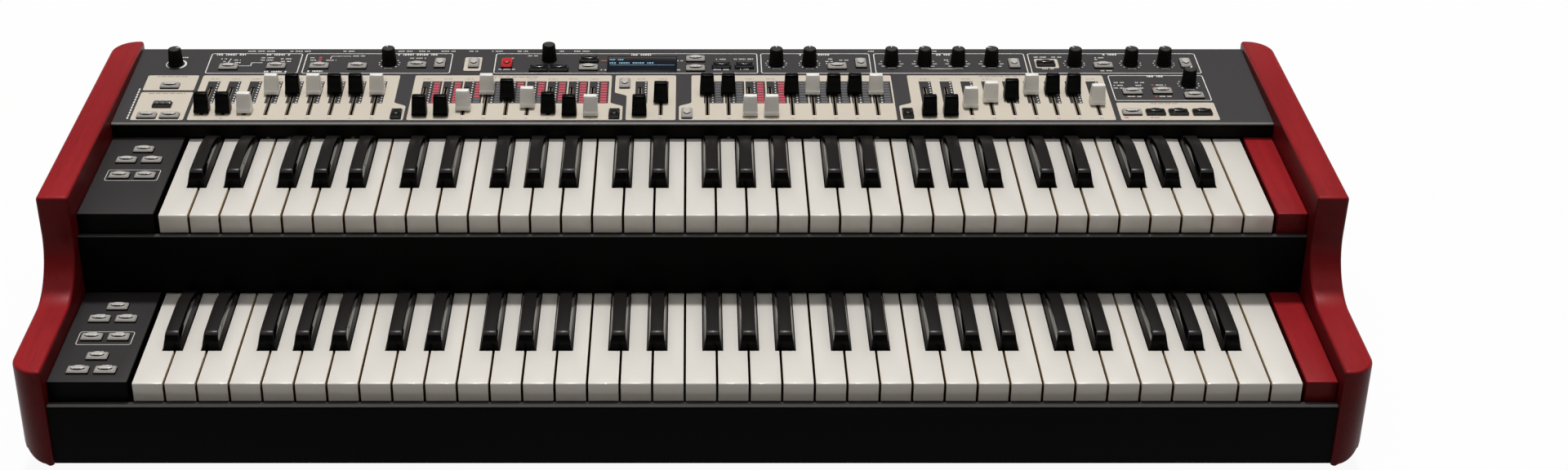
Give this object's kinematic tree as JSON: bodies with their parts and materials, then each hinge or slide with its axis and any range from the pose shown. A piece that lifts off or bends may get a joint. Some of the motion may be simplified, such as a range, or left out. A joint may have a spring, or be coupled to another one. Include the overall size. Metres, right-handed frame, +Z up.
{
  "type": "combo organ",
  "caption": "Two-manual combo organ with red wooden end cheeks, sliding drawbars, turning knobs, a display and push buttons on a sloping dark panel.",
  "frame": {"origin": "centre of the bounding box on the surface that the feet stand on", "axes": "+X to the player's right along the keyboards, +Y away from the player, +Z up"},
  "size_m": [0.98, 0.41, 0.1715],
  "materials": {
    "red_lacquer": "satin lacquer",
    "black_paint": "fine matt powder coat",
    "panel_paint": "matt paint with cream areas",
    "block_plastic": "matt",
    "ivory_plastic": "semi-gloss",
    "ebony_plastic": "gloss",
    "button_plastic": "satin",
    "knob_plastic": "matt sides, grey top with a white notch",
    "drawbar_plastic": "gloss black and grey-white caps",
    "black_plastic": "matt",
    "display_window": "clear gloss over a dark blue display",
    "circuit_board": "green solder mask",
    "zinc_steel": "zinc plated",
    "plain_aluminium": "mill finish",
    "rubber": "matt"
  },
  "bodies": {
    "chassis": {"cheek_left": "red_lacquer", "cheek_right": "red_lacquer", "bottom_plate": "plain_aluminium", "rear_panel": "black_paint", "control_panel": "panel_paint", "middle_fascia": "black_paint", "front_rail": "black_paint", "upper_left_block": "block_plastic", "upper_right_block": "red_lacquer", "lower_left_block": "block_plastic", "lower_right_block": "red_lacquer", "upper_keybed": "plain_aluminium", "lower_keybed": "plain_aluminium", "display_window": "display_window", "panel_board": "circuit_board", "main_board": "circuit_board", "power_supply": "zinc_steel", "foot_front_left": "rubber", "foot_front_right": "rubber", "foot_rear_left": "rubber", "foot_rear_right": "rubber", "connector_row": "black_plastic", "mains_inlet": "black_plastic"},
    "lower_white_keys": {"lower_white_keys": "ivory_plastic"},
    "lower_black_keys": {"lower_black_keys": "ebony_plastic"},
    "lower_key_c": {"lower_key_c": "ivory_plastic"},
    "lower_key_c_sharp": {"lower_key_c_sharp": "ebony_plastic"},
    "lower_key_d": {"lower_key_d": "ivory_plastic"},
    "lower_key_d_sharp": {"lower_key_d_sharp": "ebony_plastic"},
    "upper_white_keys": {"upper_white_keys": "ivory_plastic"},
    "upper_black_keys": {"upper_black_keys": "ebony_plastic"},
    "upper_key_c": {"upper_key_c": "ivory_plastic"},
    "upper_key_c_sharp": {"upper_key_c_sharp": "ebony_plastic"},
    "upper_key_d": {"upper_key_d": "ivory_plastic"},
    "upper_key_d_sharp": {"upper_key_d_sharp": "ebony_plastic"},
    "drawbars_at_8": {"drawbars_at_8": "drawbar_plastic"},
    "drawbars_at_7": {"drawbars_at_7": "drawbar_plastic"},
    "drawbars_at_6": {"drawbars_at_6": "drawbar_plastic"},
    "drawbars_at_5": {"drawbars_at_5": "drawbar_plastic"},
    "drawbars_at_4": {"drawbars_at_4": "drawbar_plastic"},
    "drawbars_at_3": {"drawbars_at_3": "drawbar_plastic"},
    "drawbars_at_2": {"drawbars_at_2": "drawbar_plastic"},
    "drawbars_at_0": {"drawbars_at_0": "drawbar_plastic"},
    "knob_volume": {"knob_volume": "knob_plastic"},
    "knob_drive": {"knob_drive": "knob_plastic"},
    "dial_program": {"dial_program": "knob_plastic"},
    "knob_effect_rate": {"knob_effect_rate": "knob_plastic"},
    "knob_effect_amount": {"knob_effect_amount": "knob_plastic"},
    "knob_eq_bass": {"knob_eq_bass": "knob_plastic"},
    "knob_eq_middle_frequency": {"knob_eq_middle_frequency": "knob_plastic"},
    "knob_eq_middle": {"knob_eq_middle": "knob_plastic"},
    "knob_eq_treble": {"knob_eq_treble": "knob_plastic"},
    "knob_delay_tempo": {"knob_delay_tempo": "knob_plastic"},
    "knob_delay_feedback": {"knob_delay_feedback": "knob_plastic"},
    "knob_delay_mix": {"knob_delay_mix": "knob_plastic"},
    "knob_reverb_mix": {"knob_reverb_mix": "knob_plastic"},
    "panel_buttons": {"panel_buttons": "button_plastic"},
    "upper_block_buttons": {"upper_block_buttons": "button_plastic"},
    "lower_block_buttons": {"lower_block_buttons": "button_plastic"},
    "power_switch": {"power_switch": "black_plastic"}
  },
  "joints": [
    {"name": "lower_white_keys_hinge", "type": "hinge", "parent": "chassis", "child": "lower_white_keys", "pos_m": [0, -0.0337, 0.0598], "axis": [1, 0, 0], "range_deg": [0, 3.58], "stiffness_Nm_per_rad": 11.9, "springref_deg": -20.05},
    {"name": "lower_black_keys_hinge", "type": "hinge", "parent": "chassis", "child": "lower_black_keys", "pos_m": [0, -0.0337, 0.0598], "axis": [1, 0, 0], "range_deg": [0, 3.58], "stiffness_Nm_per_rad": 6.9, "springref_deg": -20.05},
    {"name": "lower_key_c_hinge", "type": "hinge", "parent": "chassis", "child": "lower_key_c", "pos_m": [0, -0.0337, 0.0598], "axis": [1, 0, 0], "range_deg": [0, 3.58], "stiffness_Nm_per_rad": 0.35, "springref_deg": -20.05},
    {"name": "lower_key_c_sharp_hinge", "type": "hinge", "parent": "chassis", "child": "lower_key_c_sharp", "pos_m": [0, -0.0337, 0.0598], "axis": [1, 0, 0], "range_deg": [0, 3.58], "stiffness_Nm_per_rad": 0.3, "springref_deg": -20.05},
    {"name": "lower_key_d_hinge", "type": "hinge", "parent": "chassis", "child": "lower_key_d", "pos_m": [0, -0.0337, 0.0598], "axis": [1, 0, 0], "range_deg": [0, 3.58], "stiffness_Nm_per_rad": 0.35, "springref_deg": -20.05},
    {"name": "lower_key_d_sharp_hinge", "type": "hinge", "parent": "chassis", "child": "lower_key_d_sharp", "pos_m": [0, -0.0337, 0.0598], "axis": [1, 0, 0], "range_deg": [0, 3.58], "stiffness_Nm_per_rad": 0.3, "springref_deg": -20.05},
    {"name": "upper_white_keys_hinge", "type": "hinge", "parent": "chassis", "child": "upper_white_keys", "pos_m": [0, 0.0986, 0.126], "axis": [1, 0, 0], "range_deg": [0, 3.58], "stiffness_Nm_per_rad": 11.9, "springref_deg": -20.05},
    {"name": "upper_black_keys_hinge", "type": "hinge", "parent": "chassis", "child": "upper_black_keys", "pos_m": [0, 0.0986, 0.126], "axis": [1, 0, 0], "range_deg": [0, 3.58], "stiffness_Nm_per_rad": 6.9, "springref_deg": -20.05},
    {"name": "upper_key_c_hinge", "type": "hinge", "parent": "chassis", "child": "upper_key_c", "pos_m": [0, 0.0986, 0.126], "axis": [1, 0, 0], "range_deg": [0, 3.58], "stiffness_Nm_per_rad": 0.35, "springref_deg": -20.05},
    {"name": "upper_key_c_sharp_hinge", "type": "hinge", "parent": "chassis", "child": "upper_key_c_sharp", "pos_m": [0, 0.0986, 0.126], "axis": [1, 0, 0], "range_deg": [0, 3.58], "stiffness_Nm_per_rad": 0.3, "springref_deg": -20.05},
    {"name": "upper_key_d_hinge", "type": "hinge", "parent": "chassis", "child": "upper_key_d", "pos_m": [0, 0.0986, 0.126], "axis": [1, 0, 0], "range_deg": [0, 3.58], "stiffness_Nm_per_rad": 0.35, "springref_deg": -20.05},
    {"name": "upper_key_d_sharp_hinge", "type": "hinge", "parent": "chassis", "child": "upper_key_d_sharp", "pos_m": [0, 0.0986, 0.126], "axis": [1, 0, 0], "range_deg": [0, 3.58], "stiffness_Nm_per_rad": 0.3, "springref_deg": -20.05},
    {"name": "drawbars_at_8_slide", "type": "slide", "parent": "chassis", "child": "drawbars_at_8", "axis": [0, 0.9993, 0.0366], "range_m": [0, 0.0368]},
    {"name": "drawbars_at_7_slide", "type": "slide", "parent": "chassis", "child": "drawbars_at_7", "axis": [0, 0.9993, 0.0366], "range_m": [-0.0046, 0.0322]},
    {"name": "drawbars_at_6_slide", "type": "slide", "parent": "chassis", "child": "drawbars_at_6", "axis": [0, 0.9993, 0.0366], "range_m": [-0.0092, 0.0276]},
    {"name": "drawbars_at_5_slide", "type": "slide", "parent": "chassis", "child": "drawbars_at_5", "axis": [0, 0.9993, 0.0366], "range_m": [-0.0138, 0.023]},
    {"name": "drawbars_at_4_slide", "type": "slide", "parent": "chassis", "child": "drawbars_at_4", "axis": [0, 0.9993, 0.0366], "range_m": [-0.0184, 0.0184]},
    {"name": "drawbars_at_3_slide", "type": "slide", "parent": "chassis", "child": "drawbars_at_3", "axis": [0, 0.9993, 0.0366], "range_m": [-0.023, 0.0138]},
    {"name": "drawbars_at_2_slide", "type": "slide", "parent": "chassis", "child": "drawbars_at_2", "axis": [0, 0.9993, 0.0366], "range_m": [-0.0276, 0.0092]},
    {"name": "drawbars_at_0_slide", "type": "slide", "parent": "chassis", "child": "drawbars_at_0", "axis": [0, 0.9993, 0.0366], "range_m": [-0.0368, 0]},
    {"name": "knob_volume_turn", "type": "hinge", "parent": "chassis", "child": "knob_volume", "pos_m": [-0.4331, 0.17143, 0.15607], "axis": [0, -0.0366, 0.9993], "range_deg": [-75, 195]},
    {"name": "knob_drive_turn", "type": "hinge", "parent": "chassis", "child": "knob_drive", "pos_m": [-0.2544, 0.17293, 0.15613], "axis": [0, -0.0366, 0.9993], "range_deg": [-160, 110]},
    {"name": "dial_program_turn", "type": "hinge", "parent": "chassis", "child": "dial_program", "pos_m": [-0.1205, 0.17993, 0.15639], "axis": [0, -0.0366, 0.9993], "continuous": true},
    {"name": "knob_effect_rate_turn", "type": "hinge", "parent": "chassis", "child": "knob_effect_rate", "pos_m": [0.0703, 0.17203, 0.1561], "axis": [0, -0.0366, 0.9993], "range_deg": [-135, 135]},
    {"name": "knob_effect_amount_turn", "type": "hinge", "parent": "chassis", "child": "knob_effect_amount", "pos_m": [0.0982, 0.17203, 0.1561], "axis": [0, -0.0366, 0.9993], "range_deg": [-135, 135]},
    {"name": "knob_eq_bass_turn", "type": "hinge", "parent": "chassis", "child": "knob_eq_bass", "pos_m": [0.1666, 0.17203, 0.1561], "axis": [0, -0.0366, 0.9993], "range_deg": [-135, 135]},
    {"name": "knob_eq_middle_frequency_turn", "type": "hinge", "parent": "chassis", "child": "knob_eq_middle_frequency", "pos_m": [0.1946, 0.17203, 0.1561], "axis": [0, -0.0366, 0.9993], "range_deg": [-180, 90]},
    {"name": "knob_eq_middle_turn", "type": "hinge", "parent": "chassis", "child": "knob_eq_middle", "pos_m": [0.2226, 0.17203, 0.1561], "axis": [0, -0.0366, 0.9993], "range_deg": [-115, 155]},
    {"name": "knob_eq_treble_turn", "type": "hinge", "parent": "chassis", "child": "knob_eq_treble", "pos_m": [0.2506, 0.17203, 0.1561], "axis": [0, -0.0366, 0.9993], "range_deg": [-200, 70]},
    {"name": "knob_delay_tempo_turn", "type": "hinge", "parent": "chassis", "child": "knob_delay_tempo", "pos_m": [0.3204, 0.17203, 0.1561], "axis": [0, -0.0366, 0.9993], "range_deg": [-178, 92]},
    {"name": "knob_delay_feedback_turn", "type": "hinge", "parent": "chassis", "child": "knob_delay_feedback", "pos_m": [0.3675, 0.17203, 0.1561], "axis": [0, -0.0366, 0.9993], "range_deg": [-175, 95]},
    {"name": "knob_delay_mix_turn", "type": "hinge", "parent": "chassis", "child": "knob_delay_mix", "pos_m": [0.3955, 0.17203, 0.1561], "axis": [0, -0.0366, 0.9993], "range_deg": [-167, 103]},
    {"name": "knob_reverb_mix_turn", "type": "hinge", "parent": "chassis", "child": "knob_reverb_mix", "pos_m": [0.4095, 0.13446, 0.15472], "axis": [0, -0.0366, 0.9993], "range_deg": [-110, 160]},
    {"name": "panel_buttons_press", "type": "slide", "parent": "chassis", "child": "panel_buttons", "axis": [0, 0.0366, -0.9993], "range_m": [0, 0.001], "stiffness_N_per_m": 4000, "springref_m": -0.001},
    {"name": "upper_block_buttons_press", "type": "slide", "parent": "chassis", "child": "upper_block_buttons", "axis": [0, 0, -1], "range_m": [0, 0.001], "stiffness_N_per_m": 600, "springref_m": -0.001},
    {"name": "lower_block_buttons_press", "type": "slide", "parent": "chassis", "child": "lower_block_buttons", "axis": [0, 0, -1], "range_m": [0, 0.001], "stiffness_N_per_m": 900, "springref_m": -0.001},
    {"name": "power_switch_rock", "type": "hinge", "parent": "chassis", "child": "power_switch", "pos_m": [0.398, 0.1971, 0.07], "axis": [-1, 0, 0], "range_deg": [0, 16]}
  ]
}
